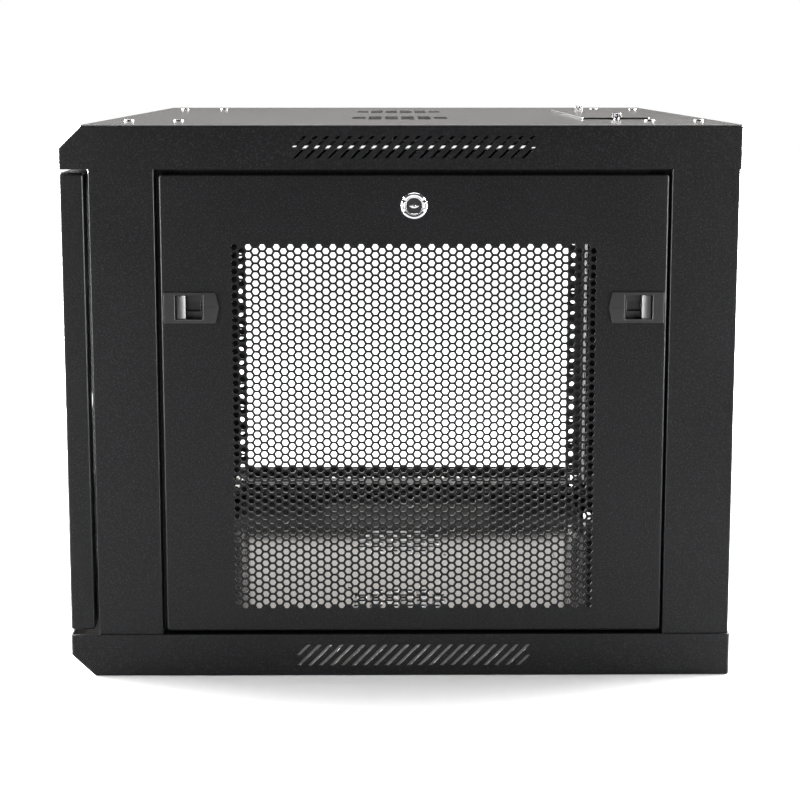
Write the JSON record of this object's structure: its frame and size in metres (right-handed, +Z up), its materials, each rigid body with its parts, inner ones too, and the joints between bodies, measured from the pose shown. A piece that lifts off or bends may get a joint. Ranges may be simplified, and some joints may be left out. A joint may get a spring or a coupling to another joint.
{
  "type": "network server rack cabinet",
  "caption": "Wall-mount network rack cabinet with vented steel door and side panel, slide rails for 19-inch equipment, fan places and cable entries.",
  "frame": {"origin": "middle of the footprint, on the surface the cabinet stands on", "axes": "+X to the cabinet's right, -Y its front, +Y its back and wall side, +Z up"},
  "size_m": [0.6, 0.6, 0.507],
  "materials": {
    "powder_coat": "fine-texture black powder coat, satin",
    "rail_coat": "smooth black powder coat",
    "zinc_steel": "bright zinc plate",
    "lock_chrome": "polished nickel chrome",
    "lock_rotor": "black dust-shutter face",
    "latch_plastic": "moulded black nylon",
    "black_screw": "black oxide"
  },
  "bodies": {
    "cabinet": {"bottom_cable_cover_screws": "black_screw", "bottom_cover": "powder_coat", "bottom_cover_screws": "zinc_steel", "bottom_gussets": "powder_coat", "depth_bar_bottom_left": "powder_coat", "depth_bar_bottom_right": "powder_coat", "depth_bar_screws": "zinc_steel", "depth_bar_top_left": "powder_coat", "depth_bar_top_right": "powder_coat", "hinge_bracket_bottom": "powder_coat", "hinge_bracket_screws": "zinc_steel", "hinge_bracket_top": "powder_coat", "post_front_left": "powder_coat", "post_front_right": "powder_coat", "post_rear_left": "powder_coat", "post_rear_right": "powder_coat", "rear_panel": "powder_coat", "rear_panel_screws": "black_screw", "sill_bottom_left": "powder_coat", "sill_bottom_right": "powder_coat", "sill_top_left": "powder_coat", "sill_top_right": "powder_coat", "top_cable_cover_screws": "black_screw", "top_cover": "powder_coat", "top_cover_screws": "black_screw", "top_gussets": "powder_coat"},
    "front_right_rail": {"rail_front_right": "rail_coat", "rail_front_right_screws": "zinc_steel"},
    "front_left_rail": {"rail_front_left": "rail_coat", "rail_front_left_screws": "zinc_steel"},
    "rear_right_rail": {"rail_rear_right": "rail_coat", "rail_rear_right_screws": "zinc_steel"},
    "rear_left_rail": {"rail_rear_left": "rail_coat", "rail_rear_left_screws": "zinc_steel"},
    "door": {"front_door": "powder_coat", "hinge_pins": "zinc_steel", "door_lock_barrel": "lock_chrome", "door_lock_nut": "zinc_steel"},
    "door_key_cam": {"door_lock_rotor": "lock_rotor", "door_lock_cam": "zinc_steel"},
    "side_cover": {"side_panel": "powder_coat", "side_lock_barrel": "lock_chrome", "side_lock_nut": "zinc_steel", "latch_front_housing": "latch_plastic", "latch_rear_housing": "latch_plastic"},
    "side_key_cam": {"side_lock_rotor": "lock_rotor", "side_lock_cam": "zinc_steel"},
    "front_latch": {"latch_front_slider": "latch_plastic"},
    "rear_latch": {"latch_rear_slider": "latch_plastic"},
    "top_entry_plate": {"top_cable_cover": "powder_coat"},
    "bottom_entry_plate": {"bottom_cable_cover": "powder_coat"}
  },
  "joints": [
    {"name": "door_hinge", "type": "hinge", "parent": "cabinet", "child": "door", "pos_m": [-0.293, -0.291, 0.2511], "axis": [0, 0, -1], "range_deg": [0, 135]},
    {"name": "door_lock_turn", "type": "hinge", "parent": "door", "child": "door_key_cam", "pos_m": [0.272, -0.29, 0.2505], "axis": [0, 1, 0], "range_deg": [0, 90]},
    {"name": "side_panel_lift_off", "type": "slide", "parent": "cabinet", "child": "side_cover", "axis": [1, 0, 0], "range_m": [0, 0.3]},
    {"name": "side_lock_turn", "type": "hinge", "parent": "side_cover", "child": "side_key_cam", "pos_m": [0.29, 0.0117, 0.4298], "axis": [1, 0, 0], "range_deg": [0, 90]},
    {"name": "front_latch_slide", "type": "slide", "parent": "side_cover", "child": "front_latch", "axis": [0, 1, 0], "range_m": [0, 0.008], "stiffness_N_per_m": 500, "springref_m": -0.002},
    {"name": "rear_latch_slide", "type": "slide", "parent": "side_cover", "child": "rear_latch", "axis": [0, -1, 0], "range_m": [0, 0.008], "stiffness_N_per_m": 500, "springref_m": -0.002},
    {"name": "top_entry_slide", "type": "slide", "parent": "cabinet", "child": "top_entry_plate", "axis": [0, -1, 0], "range_m": [0, 0.06]},
    {"name": "bottom_entry_slide", "type": "slide", "parent": "cabinet", "child": "bottom_entry_plate", "axis": [0, -1, 0], "range_m": [0, 0.06]},
    {"name": "front_rails_slide", "type": "slide", "parent": "cabinet", "child": "front_right_rail", "axis": [0, 1, 0], "range_m": [0, 0.15]},
    {"name": "front_left_rail_follow", "type": "slide", "parent": "cabinet", "child": "front_left_rail", "axis": [0, 1, 0], "range_m": [0, 0.15]},
    {"name": "rear_rails_slide", "type": "slide", "parent": "cabinet", "child": "rear_right_rail", "axis": [0, -1, 0], "range_m": [0, 0.15]},
    {"name": "rear_left_rail_follow", "type": "slide", "parent": "cabinet", "child": "rear_left_rail", "axis": [0, -1, 0], "range_m": [0, 0.15]}
  ],
  "couplings": [
    {"joint": "front_left_rail_follow", "follows": "front_rails_slide", "ratio": 1},
    {"joint": "rear_left_rail_follow", "follows": "rear_rails_slide", "ratio": 1}
  ]
}
